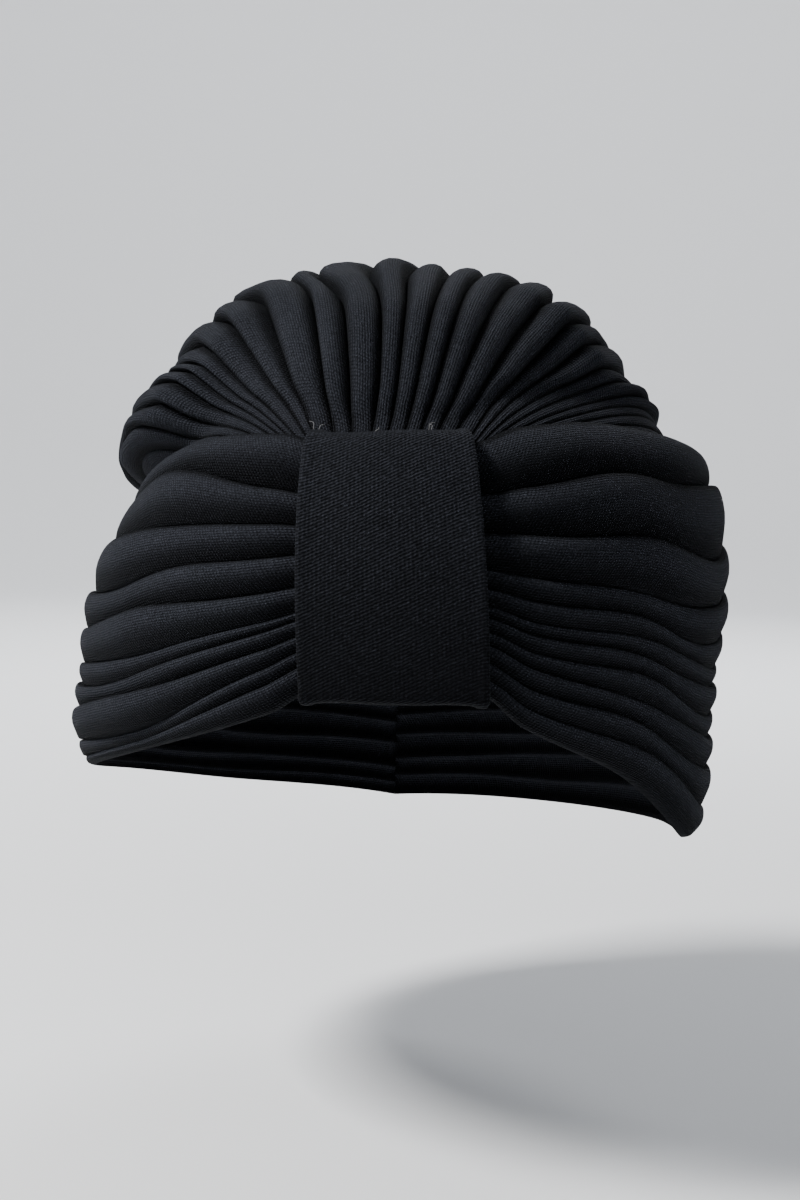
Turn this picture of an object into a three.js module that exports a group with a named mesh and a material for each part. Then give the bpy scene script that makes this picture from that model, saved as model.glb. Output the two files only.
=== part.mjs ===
// A knitted turban with a fan-pleated crown, two pleated side wraps and a twill tab at the front.
// Millimetres, +Z up, the front looks along -Y and the wearer's left is at +X. The origin is the
// point inside the crown where the top of the wearer's head rests.
import * as THREE from "three";

// The wearer's head above the ears: a rounded ellipsoid that the cloth is wrapped over.
const HEAD_HALF_WIDTH = 78;
const HEAD_HALF_DEPTH = 99;
const HEAD_HEIGHT = 98; // from its widest level up to the origin
const HEAD_POWER = 2.3; // 2 is an ellipsoid, more is squarer

const CLOTH = 2.0; // thickness of the doubled jersey
const MAX_RELIEF = 7.5; // no pleat of the wraps stands higher than this
const CROWN_RELIEF = 9; // nor any of the crown

// Side wraps: height of the top edge and of the hem, and how far the wrap's inner face stands off
// the head at the top edge, half way down and at the hem. `fold` scales the pleats' height.
const WRAP_SECTIONS = {
  left: [
    { azimuth: 0, top: -35.8, hem: -94.4, topOut: 7.5, midOut: 5.5, hemOut: 3.5, fold: 0.30 },
    { azimuth: 14, top: -36.8, hem: -95.3, topOut: 7.5, midOut: 5.5, hemOut: 3.5, fold: 0.50 },
    { azimuth: 22, top: -34.2, hem: -102, topOut: 8, midOut: 6.5, hemOut: 3.5, fold: 0.80 },
    { azimuth: 45, top: -36.5, hem: -113.5, topOut: 7, midOut: 6, hemOut: 4, fold: 0.95 },
    { azimuth: 75, top: -49.5, hem: -127, topOut: 0.5, midOut: 8.5, hemOut: 10, fold: 1.00 },
    { azimuth: 105, top: -61.0, hem: -138, topOut: 0.5, midOut: 9.5, hemOut: 12, fold: 1.00 },
    { azimuth: 140, top: -73.0, hem: -150, topOut: 6, midOut: 8.5, hemOut: 6, fold: 0.90 },
    { azimuth: 180, top: -80.0, hem: -158, topOut: 7.5, midOut: 7.5, hemOut: 2, fold: 0.75 },
  ],
  right: [
    { azimuth: 0, top: -35.8, hem: -94.4, topOut: 7.5, midOut: 5.5, hemOut: 3.5, fold: 0.30 },
    { azimuth: 14, top: -34.8, hem: -95.3, topOut: 7.5, midOut: 5.5, hemOut: 3.5, fold: 0.50 },
    { azimuth: 22, top: -31.0, hem: -104, topOut: 8, midOut: 6.5, hemOut: 3.5, fold: 0.80 },
    { azimuth: 45, top: -28.8, hem: -119, topOut: 9, midOut: 6, hemOut: 3.5, fold: 0.95 },
    { azimuth: 75, top: -34.5, hem: -144, topOut: 16.5, midOut: 10.5, hemOut: 7, fold: 1.00 },
    { azimuth: 105, top: -44.0, hem: -150, topOut: 17, midOut: 11, hemOut: 8.5, fold: 1.00 },
    { azimuth: 140, top: -66.5, hem: -155, topOut: 10, midOut: 10.5, hemOut: 5, fold: 0.90 },
    { azimuth: 180, top: -80.0, hem: -158, topOut: 7.5, midOut: 7.5, hemOut: 2, fold: 0.75 },
  ],
};

// The wraps' pleats from the top edge down: each one's share of the wrap's height beside the tab,
// at the temple, behind the ear and at the centre back, and its height as a share of its width.
const WRAP_STATIONS = [14, 52, 100, 179];
const WRAP_PLEATS = {
  left: [
    { tab: 0.22, temple: 0.10, ear: 0.07, back: 0.09, crest: 0.45 },
    { tab: 0.11, temple: 0.18, ear: 0.11, back: 0.12, crest: 0.42 },
    { tab: 0.12, temple: 0.15, ear: 0.14, back: 0.13, crest: 0.45 },
    { tab: 0.13, temple: 0.13, ear: 0.13, back: 0.12, crest: 0.55 },
    { tab: 0.09, temple: 0.13, ear: 0.15, back: 0.12, crest: 0.55 },
    { tab: 0.04, temple: 0.07, ear: 0.07, back: 0.09, crest: 0.60 },
    { tab: 0.06, temple: 0.07, ear: 0.12, back: 0.10, crest: 0.70 },
    { tab: 0.06, temple: 0.11, ear: 0.12, back: 0.10, crest: 0.70 },
    { tab: 0.07, temple: 0.04, ear: 0.06, back: 0.08, crest: 0.60 },
    { tab: 0.10, temple: 0.02, ear: 0.03, back: 0.05, crest: 0.45 },
  ],
  right: [
    { tab: 0.205, temple: 0.130, ear: 0.06, back: 0.08, crest: 0.45 },
    { tab: 0.170, temple: 0.205, ear: 0.12, back: 0.10, crest: 0.40 },
    { tab: 0.130, temple: 0.140, ear: 0.14, back: 0.11, crest: 0.50 },
    { tab: 0.080, temple: 0.070, ear: 0.10, back: 0.10, crest: 0.55 },
    { tab: 0.070, temple: 0.060, ear: 0.09, back: 0.09, crest: 0.60 },
    { tab: 0.040, temple: 0.045, ear: 0.07, back: 0.08, crest: 0.60 },
    { tab: 0.060, temple: 0.065, ear: 0.06, back: 0.08, crest: 0.60 },
    { tab: 0.050, temple: 0.070, ear: 0.08, back: 0.09, crest: 0.60 },
    { tab: 0.070, temple: 0.060, ear: 0.09, back: 0.10, crest: 0.60 },
    { tab: 0.070, temple: 0.080, ear: 0.10, back: 0.09, crest: 0.60 },
    { tab: 0.055, temple: 0.075, ear: 0.09, back: 0.08, crest: 0.50 },
  ],
};
const WRAP_FRONT_END = 0.8; // degrees from the centre front, inside the tab
const WRAP_BACK_END = 179.72; // the two wraps butt at the centre back
const WRAP_ROWS = [WRAP_FRONT_END, 8, 14, 21, 31, 43, 56, 70, 85, 101, 117, 133, 149, 164, WRAP_BACK_END];

// The crown's pleats from the left temple over the top to the right temple: width in the front
// gather (mm), share of the arc over the head (degrees), share of the rim (degrees round the
// head), how far the cloth puffs off the head (mm), and height as a share of the width.
const CROWN_PLEATS = [
  { gather: 1.4, over: 0.0, rim: 52, puff: 11, crest: 0.05 }, // tucked away under the wrap
  { gather: 0.9, over: 1.8, rim: 5, puff: 11, crest: 0.80 },
  { gather: 0.9, over: 2.3, rim: 4.5, puff: 11, crest: 0.80 },
  { gather: 0.9, over: 4.0, rim: 4.5, puff: 11, crest: 0.75 },
  { gather: 1.0, over: 4.2, rim: 4.5, puff: 11, crest: 0.75 },
  { gather: 0.9, over: 3.0, rim: 4, puff: 12, crest: 0.80 },
  { gather: 1.0, over: 2.5, rim: 3.5, puff: 10, crest: 0.80 },
  { gather: 0.9, over: 3.0, rim: 4, puff: 9, crest: 0.80 },
  { gather: 1.0, over: 6.7, rim: 4.4, puff: 12, crest: 0.65 },
  { gather: 0.9, over: 5.8, rim: 4.4, puff: 13, crest: 0.70 },
  { gather: 3.0, over: 9.5, rim: 4.4, puff: 12, crest: 0.60 },
  { gather: 3.3, over: 5.3, rim: 4.5, puff: 11, crest: 0.80 },
  { gather: 3.3, over: 9.7, rim: 4.4, puff: 11, crest: 0.60 },
  { gather: 3.3, over: 7.0, rim: 4.4, puff: 10, crest: 0.72 },
  { gather: 3.2, over: 6.0, rim: 4.4, puff: 10, crest: 0.75 },
  { gather: 3.3, over: 5.0, rim: 4.4, puff: 11, crest: 0.80 },
  { gather: 3.3, over: 6.3, rim: 4.5, puff: 11, crest: 0.75 },
  { gather: 3.3, over: 6.2, rim: 4.4, puff: 12, crest: 0.75 },
  { gather: 3.0, over: 6.0, rim: 4.4, puff: 12, crest: 0.75 },
  { gather: 0.6, over: 4.8, rim: 4.4, puff: 11, crest: 0.80 },
  { gather: 0.6, over: 4.6, rim: 4, puff: 9, crest: 0.80 },
  { gather: 0.6, over: 3.6, rim: 3, puff: 7, crest: 0.80 },
  { gather: 0.6, over: 3.4, rim: 3, puff: 7, crest: 0.80 },
  { gather: 0.6, over: 2.4, rim: 3, puff: 12, crest: 0.80 },
  { gather: 0.6, over: 2.4, rim: 3, puff: 15, crest: 0.80 },
  { gather: 0.6, over: 2.4, rim: 3, puff: 20, crest: 0.80 },
  { gather: 0.6, over: 2.6, rim: 2.5, puff: 26, crest: 0.80 },
  { gather: 0.6, over: 2.8, rim: 2.5, puff: 33, crest: 0.80 },
  { gather: 6.0, over: 0.0, rim: 65, puff: 27, crest: 0.05 }, // tucked away under the wrap
];
const CROWN_START = { gather: -27.9, over: -62.2, rim: -68 }; // the fan's left edge
const GATHER_HEIGHT = -43; // the gathered front edge lies behind the tab
const TUCK = 12; // how deep the crown's rim reaches below the wraps' top edge
const SEAT_GAP = 2.2; // between the tucked rim and the wraps or the tab in front of it
const TUCKED_RELIEF = 0.8; // pleats are pressed this flat where they are tucked in
const PUFF_START = 4.5; // height above the wraps at which the crown starts to swell out
const PUFF_RISE = 20; // height over which it swells at the front
const SIDE_PUFF_RISE = 6; // and at the sides
const RELIEF_START = 3.2; // the same for its pleats, which stand up above the wraps
const RELIEF_RISE = 6;
const OVER_TOP = 0.42; // where along a pleat the top of the head comes
const CROWN_ROWS = [0, 0.06, 0.13, 0.22, 0.34, 0.47, 0.61, 0.74, 0.84, 0.9, 0.94, 0.97, 1];

// The tab: a flat strip folded round the pinched front of both wraps and closed on itself.
const TAB_HALF_ANGLE = 13.5;
const TAB_TURN = -0.5; // degrees from the centre front at its bottom
const TAB_SKEW = -2; // degrees by which its top is turned further round
const TAB_CLOTH = 1.6;
const TAB_GAP = 0.6;
const TAB_STANDOFF = 6.5; // the strip's front wall from the wraps' inner face at the centre
const TAB_FLATTEN = 1.2; // how much further its long edges stand off
const TAB_SLACK = 1.3; // how far the loop's straight walls outrun the wraps' edges

const smooth = (t) => THREE.MathUtils.smoothstep(t, 0, 1);
const radians = THREE.MathUtils.degToRad;

/** A smooth curve through one column of a table whose rows are ordered by azimuth. */
function lookUp(rows, column, azimuth) {
  const last = rows.length - 1;
  const a = THREE.MathUtils.clamp(azimuth, 0, 180);
  let i = 0;
  while (i < last - 1 && rows[i + 1].azimuth <= a) i++;
  const slope = (j) => {
    const [from, to] = [rows[Math.max(0, j - 1)], rows[Math.min(last, j + 1)]];
    return (to[column] - from[column]) / (to.azimuth - from.azimuth);
  };
  const span = rows[i + 1].azimuth - rows[i].azimuth;
  const t = (a - rows[i].azimuth) / span;
  const [t2, t3] = [t * t, t * t * t];
  return (2 * t3 - 3 * t2 + 1) * rows[i][column] + (t3 - 2 * t2 + t) * span * slope(i)
    + (3 * t2 - 2 * t3) * rows[i + 1][column] + (t3 - t2) * span * slope(i + 1);
}

/** How much the head has narrowed at a height, 1 below its widest level. */
function narrowing(z) {
  const rise = THREE.MathUtils.clamp((z + HEAD_HEIGHT) / HEAD_HEIGHT, 0, 1);
  return (1 - rise ** HEAD_POWER) ** (1 / HEAD_POWER);
}

/** The point a given distance straight out from the head; azimuth 0 is the front, + to +X. */
function offHead(azimuth, z, out) {
  const [s, c, k] = [Math.sin(radians(azimuth)), Math.cos(radians(azimuth)), narrowing(z)];
  const normal = new THREE.Vector2(s / HEAD_HALF_WIDTH, -c / HEAD_HALF_DEPTH).normalize();
  return new THREE.Vector3(
    HEAD_HALF_WIDTH * k * s + out * normal.x, -HEAD_HALF_DEPTH * k * c + out * normal.y, z);
}

/** Height profile of one pleat, 0 in the valleys either side and 1 at the crest. */
const arch = (x) => (1 - Math.abs(2 * x - 1) ** 2.2) ** (1 / 2.2);

/** The inner face's heights: the outer heights pulled in by the cloth's thickness all round. */
function innerHeights(outer, along) {
  return outer.map((_, i) => {
    let height = outer[i] - CLOTH;
    for (let j = 0; j < outer.length; j++) {
      const apart = Math.abs(along[j] - along[i]);
      if (apart < CLOTH) height = Math.min(height, outer[j] - Math.sqrt(CLOTH ** 2 - apart ** 2));
    }
    return Math.max(0, height);
  });
}

/** A closed skin between an outer and an inner grid of points, stitched round the four edges. */
function skin(outer, inner) {
  const [rows, columns] = [outer.length, outer[0].length];
  const points = [...outer.flat(), ...inner.flat()];
  const out = (r, c) => r * columns + c;
  const inn = (r, c) => rows * columns + r * columns + c;
  const faces = [];
  const quad = (a, b, c, d) => faces.push(a, b, c, a, c, d);
  for (let r = 0; r + 1 < rows; r++) {
    for (let c = 0; c + 1 < columns; c++) {
      quad(out(r, c), out(r, c + 1), out(r + 1, c + 1), out(r + 1, c));
      quad(inn(r, c), inn(r + 1, c), inn(r + 1, c + 1), inn(r, c + 1));
    }
    quad(out(r, 0), out(r + 1, 0), inn(r + 1, 0), inn(r, 0));
    quad(out(r + 1, columns - 1), out(r, columns - 1), inn(r, columns - 1), inn(r + 1, columns - 1));
  }
  for (let c = 0; c + 1 < columns; c++) {
    quad(out(0, c + 1), out(0, c), inn(0, c), inn(0, c + 1));
    quad(out(rows - 1, c), out(rows - 1, c + 1), inn(rows - 1, c + 1), inn(rows - 1, c));
  }
  return solid(points, faces);
}

/** Geometry from points and faces, turned right side out. */
function solid(points, faces) {
  let volume = 0;
  for (let i = 0; i < faces.length; i += 3) {
    const [a, b, c] = [0, 1, 2].map((k) => points[faces[i + k]]);
    volume += a.dot(new THREE.Vector3().crossVectors(b, c));
  }
  const geometry = new THREE.BufferGeometry();
  geometry.setAttribute("position", new THREE.Float32BufferAttribute(
    points.flatMap((p) => [p.x, p.y, p.z]), 3));
  geometry.setIndex(volume < 0 ? faces.reverse() : faces);
  geometry.computeVertexNormals();
  return geometry;
}

/** Running totals of one column, starting from a given value. */
function edges(rows, column, start) {
  return rows.reduce((sums, row) => [...sums, sums.at(-1) + row[column]], [start]);
}

/** A wrap's pleat edges at one azimuth, as shares of its height from the top edge down. */
function wrapEdges(side, azimuth) {
  const names = ["tab", "temple", "ear", "back"];
  let i = 0;
  while (i < names.length - 2 && WRAP_STATIONS[i + 1] <= azimuth) i++;
  const span = WRAP_STATIONS[i + 1] - WRAP_STATIONS[i];
  const t = smooth((azimuth - WRAP_STATIONS[i]) / span);
  const [from, to] = [names[i], names[i + 1]].map((name) => edges(WRAP_PLEATS[side], name, 0));
  return from.map((share, k) => THREE.MathUtils.lerp(share, to[k], t));
}

/** How far a wrap's inner face stands off the head, at a share of its height. */
function wrapOut(side, azimuth, share) {
  const at = (column) => lookUp(WRAP_SECTIONS[side], column, azimuth);
  return at("topOut") * (1 - share) * (1 - 2 * share) + at("midOut") * 4 * share * (1 - share)
    + at("hemOut") * share * (2 * share - 1);
}

/** One pleated side wrap, from the centre front to the centre back. */
function wrap(side) {
  const [sign, samples] = [side === "left" ? -1 : 1, [0, 0.2, 0.5, 0.8]];
  const [outer, inner] = [[], []];
  for (const azimuth of WRAP_ROWS) {
    const [top, hem, fold] = ["top", "hem", "fold"].map(
      (column) => lookUp(WRAP_SECTIONS[side], column, azimuth));
    const valleys = wrapEdges(side, azimuth);
    const shares = [];
    const heights = [];
    WRAP_PLEATS[side].forEach((pleat, i) => {
      const width = valleys[i + 1] - valleys[i];
      const height = fold * Math.min(MAX_RELIEF, pleat.crest * width * (top - hem));
      for (const x of samples) {
        shares.push(valleys[i] + width * x);
        heights.push(CLOTH + height * arch(x));
      }
    });
    shares.push(1);
    heights.push(CLOTH);
    const inside = innerHeights(heights, shares.map((share) => share * (top - hem)));
    const at = (share, height) => offHead(
      sign * azimuth, top + (hem - top) * share, wrapOut(side, azimuth, share) + height);
    outer.push(shares.map((share, i) => at(share, heights[i])));
    inner.push(shares.map((share, i) => at(share, inside[i])));
  }
  return skin(outer, inner);
}

/** A wrap-section column at an azimuth from -180 to 180. */
function twoSided(column, azimuth) {
  return lookUp(WRAP_SECTIONS[azimuth < 0 ? "left" : "right"], column, Math.abs(azimuth));
}

/** How far off the head the crown's outer face may stand where it is tucked inside the wraps. */
function tuckedOut(azimuth, rise) {
  const [side, turn] = [azimuth < 0 ? "left" : "right", Math.abs(azimuth)];
  const height = twoSided("top", azimuth) - twoSided("hem", azimuth);
  const behindTab = 1 - smooth((turn - TAB_HALF_ANGLE - 1) / 6);
  return wrapOut(side, turn, THREE.MathUtils.clamp(-rise / height, 0, 1)) - SEAT_GAP
    - behindTab * (TAB_GAP + TAB_CLOTH);
}

/** Where a ray from the middle of the head leaves it, and the head's outward normal there. */
function headAlong(ray) {
  const flat = Math.hypot(ray.x / HEAD_HALF_WIDTH, ray.y / HEAD_HALF_DEPTH);
  const rise = Math.max(0, ray.z / HEAD_HEIGHT);
  const point = ray.clone().divideScalar((flat ** HEAD_POWER + rise ** HEAD_POWER) ** (1 / HEAD_POWER));
  const k = Math.max(1e-6, Math.hypot(point.x / HEAD_HALF_WIDTH, point.y / HEAD_HALF_DEPTH));
  const bulge = k ** (HEAD_POWER - 2);
  const normal = new THREE.Vector3(
    bulge * point.x / HEAD_HALF_WIDTH ** 2, bulge * point.y / HEAD_HALF_DEPTH ** 2,
    Math.max(0, point.z) ** (HEAD_POWER - 1) / HEAD_HEIGHT ** HEAD_POWER).normalize();
  point.z -= HEAD_HEIGHT;
  return { point, normal };
}

/** The direction from the middle of the head to a point on it. */
function towards(azimuth, z) {
  const p = offHead(azimuth, z, 0);
  return new THREE.Vector3(p.x, p.y, Math.max(0, z + HEAD_HEIGHT)).normalize();
}

/** The crown's inner face: from the gather, over the top, down to the rim; s runs 0 to 1. */
function crownAt(gather, over, rim, puff, s) {
  const turn = rim > 180 ? rim - 360 : rim;
  const sine = THREE.MathUtils.clamp(gather / (HEAD_HALF_WIDTH * narrowing(GATHER_HEIGHT)), -1, 1);
  const from = towards(THREE.MathUtils.radToDeg(Math.asin(sine)), GATHER_HEIGHT);
  const to = towards(turn, twoSided("top", turn) - TUCK);
  const arc = new THREE.Vector3(
    HEAD_HALF_WIDTH * Math.sin(radians(over)), 0, HEAD_HEIGHT * Math.cos(radians(over))).normalize();
  const middle = from.clone().add(to).normalize().lerp(arc, smooth((Math.abs(turn) - 68) / 50)).normalize();
  const ray = from.clone().multiplyScalar((s - OVER_TOP) * (s - 1) / OVER_TOP)
    .addScaledVector(middle, s * (1 - s) / (OVER_TOP * (1 - OVER_TOP)))
    .addScaledVector(to, s * (s - OVER_TOP) / (1 - OVER_TOP)).normalize();
  const { point, normal } = headAlong(ray);
  const azimuth = THREE.MathUtils.radToDeg(
    Math.atan2(point.x / HEAD_HALF_WIDTH, -point.y / HEAD_HALF_DEPTH));
  const rise = point.z - twoSided("top", azimuth);
  const seat = tuckedOut(azimuth, rise) * Math.hypot(normal.x, normal.y) - CLOTH - TUCKED_RELIEF;
  const atSide = smooth((Math.abs(azimuth) - 35) / 30) * smooth((165 - Math.abs(azimuth)) / 40);
  const swelling = THREE.MathUtils.lerp(PUFF_RISE, SIDE_PUFF_RISE, atSide);
  point.addScaledVector(normal, seat + (puff - seat) * smooth((rise - PUFF_START) / swelling));
  return { point, normal, rise };
}

/** The fan-pleated crown. */
function crown() {
  const [gathers, overs] = ["gather", "over"].map((name) => edges(CROWN_PLEATS, name, CROWN_START[name]));
  const rims = CROWN_PLEATS.reduce((sums, row) => [...sums, sums.at(-1) - row.rim], [CROWN_START.rim + 360]);
  const puffs = gathers.map((_, i) => {
    const before = CROWN_PLEATS[Math.max(0, i - 1)];
    const after = CROWN_PLEATS[i] ?? before;
    return (before.puff + after.puff) / 2;
  });
  const samples = [0, 0.3, 0.7];
  const [outer, inner] = [[], []];
  for (const s of CROWN_ROWS) {
    const base = [];
    const arches = [];
    CROWN_PLEATS.forEach((pleat, i) => {
      for (const x of samples) {
        const mix = (list) => THREE.MathUtils.lerp(list[i], list[i + 1], x);
        base.push(crownAt(mix(gathers), mix(overs), mix(rims), mix(puffs), s));
        arches.push({ pleat: i, arch: arch(x), crest: pleat.crest });
      }
    });
    const last = gathers.length - 1;
    base.push(crownAt(gathers[last], overs[last], rims[last], puffs[last], s));
    const along = base.reduce((sums, b, i) => (
      i ? [...sums, sums.at(-1) + b.point.distanceTo(base[i - 1].point)] : [0]), []);
    const heights = base.map(({ rise }, i) => {
      if (i === base.length - 1) return CLOTH;
      const start = arches[i].pleat * samples.length;
      const width = along[start + samples.length] - along[start];
      const height = Math.min(CROWN_RELIEF, arches[i].crest * width);
      const standing = smooth((rise - RELIEF_START) / RELIEF_RISE);
      return CLOTH + arches[i].arch
        * THREE.MathUtils.lerp(Math.min(TUCKED_RELIEF, height), height, standing);
    });
    const inside = innerHeights(heights, along);
    const lift = (list) => base.map(({ point, normal }, i) => point.clone().addScaledVector(normal, list[i]));
    outer.push(lift(heights));
    inner.push(lift(inside));
  }
  return skin(outer, inner);
}

/** The tab's section at one azimuth: a flat loop a given distance outside the wraps' pinched ends. */
function tabSection(azimuth, extra) {
  const top = twoSided("top", azimuth + TAB_TURN + TAB_SKEW);
  const hem = twoSided("hem", azimuth + TAB_TURN);
  const depth = TAB_STANDOFF + TAB_FLATTEN * (azimuth / TAB_HALF_ANGLE) ** 2;
  const [half, rounding] = [depth / 2 + extra, depth / 6 + extra];
  const straight = top - hem - depth / 3 + 2 * TAB_SLACK;
  const stops = [];
  for (let bend = 90; bend >= 0; bend -= 30) stops.push([0, bend]); // over the top to the front
  for (let k = 1; k < 5; k++) stops.push([k / 5, 0]); // down the front
  for (let bend = 0; bend >= -180; bend -= 30) stops.push([1, bend]); // round the hem
  for (let k = 3; k > 0; k--) stops.push([k / 4, -180]); // up behind
  for (let bend = -180; bend > -270; bend -= 30) stops.push([0, bend]); // and back to the top
  return stops.map(([down, bend]) => {
    const z = (top + hem) / 2 + straight * (0.5 - down) + rounding * Math.sin(radians(bend));
    const share = THREE.MathUtils.clamp((top - z) / (top - hem), 0, 1);
    const turned = azimuth + TAB_TURN + TAB_SKEW * (1 - share);
    const out = wrapOut(turned < 0 ? "left" : "right", Math.abs(turned), share);
    return offHead(turned, z, out + depth / 2 + half * Math.cos(radians(bend)));
  });
}

/** The twill tab as a closed ring round the wraps' front ends. */
function tab() {
  const azimuths = [-1, -0.5, 0, 0.5, 1].map((x) => x * TAB_HALF_ANGLE);
  const outer = azimuths.map((azimuth) => tabSection(azimuth, TAB_GAP + TAB_CLOTH));
  const inner = azimuths.map((azimuth) => tabSection(azimuth, TAB_GAP));
  const [rows, columns] = [outer.length, outer[0].length];
  const points = [...outer.flat(), ...inner.flat()];
  const out = (r, c) => r * columns + (c % columns);
  const inn = (r, c) => rows * columns + out(r, c);
  const faces = [];
  const quad = (a, b, c, d) => faces.push(a, b, c, a, c, d);
  for (let c = 0; c < columns; c++) {
    for (let r = 0; r + 1 < rows; r++) {
      quad(out(r, c), out(r, c + 1), out(r + 1, c + 1), out(r + 1, c));
      quad(inn(r, c), inn(r + 1, c), inn(r + 1, c + 1), inn(r, c + 1));
    }
    quad(out(0, c + 1), out(0, c), inn(0, c), inn(0, c + 1));
    quad(out(rows - 1, c), out(rows - 1, c + 1), inn(rows - 1, c + 1), inn(rows - 1, c));
  }
  return solid(points, faces);
}

const jersey = (shade) => new THREE.MeshStandardMaterial({ color: shade, roughness: 0.95 });

const turban = new THREE.Group();
turban.name = "turban_headwrap";
for (const [name, geometry, shade] of [
  ["crown", crown(), 0x24262b],
  ["wrap_left", wrap("left"), 0x2b2d33],
  ["wrap_right", wrap("right"), 0x2b2d33],
  ["center_tab", tab(), 0x33353c],
]) {
  const mesh = new THREE.Mesh(geometry, jersey(shade));
  mesh.name = name;
  turban.add(mesh);
}

export default turban;
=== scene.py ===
"""A pleated knitted turban, as worn: fine pleated cloth in place of the plain CAD solids.

The head's form, the wraps' sections and the pleat tables are those of the CAD part, in millimetres
and degrees. Azimuth 0 is the front (-Y) and grows towards +X. Meshes are made in metres.
"""

import bpy
import numpy as np
from mathutils import Matrix, Vector


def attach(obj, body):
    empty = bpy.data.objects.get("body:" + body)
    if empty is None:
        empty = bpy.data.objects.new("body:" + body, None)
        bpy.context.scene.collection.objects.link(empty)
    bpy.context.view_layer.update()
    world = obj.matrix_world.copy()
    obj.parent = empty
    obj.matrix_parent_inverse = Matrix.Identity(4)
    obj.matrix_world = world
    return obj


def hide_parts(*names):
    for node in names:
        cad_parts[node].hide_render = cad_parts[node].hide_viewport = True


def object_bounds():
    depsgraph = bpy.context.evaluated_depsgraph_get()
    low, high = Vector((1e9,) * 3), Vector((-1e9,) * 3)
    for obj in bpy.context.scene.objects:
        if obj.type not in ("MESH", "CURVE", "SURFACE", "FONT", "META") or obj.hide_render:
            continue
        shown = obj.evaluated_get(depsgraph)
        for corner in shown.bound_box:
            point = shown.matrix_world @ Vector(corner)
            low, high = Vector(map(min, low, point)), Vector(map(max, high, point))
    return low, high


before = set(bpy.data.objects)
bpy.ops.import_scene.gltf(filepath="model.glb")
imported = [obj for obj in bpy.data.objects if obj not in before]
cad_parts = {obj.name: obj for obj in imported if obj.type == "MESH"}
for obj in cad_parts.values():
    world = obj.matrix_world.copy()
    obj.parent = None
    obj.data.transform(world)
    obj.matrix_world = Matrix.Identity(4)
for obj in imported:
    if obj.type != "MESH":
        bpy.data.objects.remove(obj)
cad_box = [list(corner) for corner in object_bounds()]

MM = 0.001

# ---------------------------------------------------------------- form of the head and the hat

HEAD_HALF_WIDTH = 78.0
HEAD_HALF_DEPTH = 99.0
HEAD_HEIGHT = 98.0
HEAD_POWER = 2.3

CLOTH = 2.0  # thickness of the knitted cloth, doubled
MAX_RELIEF = 7.5  # greatest height of the wraps' pleats
CROWN_RELIEF = 10.0  # and of the crown's

# Heights of the wraps' edges, how far they stand off the head there, and how fully the cloth is pleated.
WRAP_SECTIONS = {
    "left": [
        dict(azimuth=0, top=-35.8, hem=-94.4, top_out=7.5, mid_out=5.5, hem_out=3.5, fold=0.30),
        dict(azimuth=14, top=-36.8, hem=-95.3, top_out=7.5, mid_out=5.5, hem_out=3.5, fold=0.50),
        dict(azimuth=22, top=-34.2, hem=-102, top_out=8, mid_out=6.5, hem_out=3.5, fold=0.80),
        dict(azimuth=45, top=-36.5, hem=-113.5, top_out=7, mid_out=6, hem_out=4, fold=0.95),
        dict(azimuth=75, top=-49.5, hem=-127, top_out=0.5, mid_out=8.5, hem_out=10, fold=1.00),
        dict(azimuth=105, top=-61.0, hem=-138, top_out=0.5, mid_out=9.5, hem_out=12, fold=1.00),
        dict(azimuth=140, top=-73.0, hem=-150, top_out=6, mid_out=8.5, hem_out=6, fold=0.90),
        dict(azimuth=180, top=-80.0, hem=-158, top_out=7.5, mid_out=7.5, hem_out=2, fold=0.75),
    ],
    "right": [
        dict(azimuth=0, top=-35.8, hem=-94.4, top_out=7.5, mid_out=5.5, hem_out=3.5, fold=0.30),
        dict(azimuth=14, top=-34.8, hem=-95.3, top_out=7.5, mid_out=5.5, hem_out=3.5, fold=0.50),
        dict(azimuth=22, top=-31.0, hem=-104, top_out=8, mid_out=6.5, hem_out=3.5, fold=0.80),
        dict(azimuth=45, top=-28.8, hem=-119, top_out=9, mid_out=6, hem_out=3.5, fold=0.95),
        dict(azimuth=75, top=-34.5, hem=-144, top_out=16.5, mid_out=10.5, hem_out=7, fold=1.00),
        dict(azimuth=105, top=-44.0, hem=-150, top_out=17, mid_out=11, hem_out=8.5, fold=1.00),
        dict(azimuth=140, top=-66.5, hem=-155, top_out=10, mid_out=10.5, hem_out=5, fold=0.90),
        dict(azimuth=180, top=-80.0, hem=-158, top_out=7.5, mid_out=7.5, hem_out=2, fold=0.75),
    ],
}

WRAP_STATIONS = dict(tab=14, temple=52, ear=100, back=179)  # azimuths of the table's columns
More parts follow.
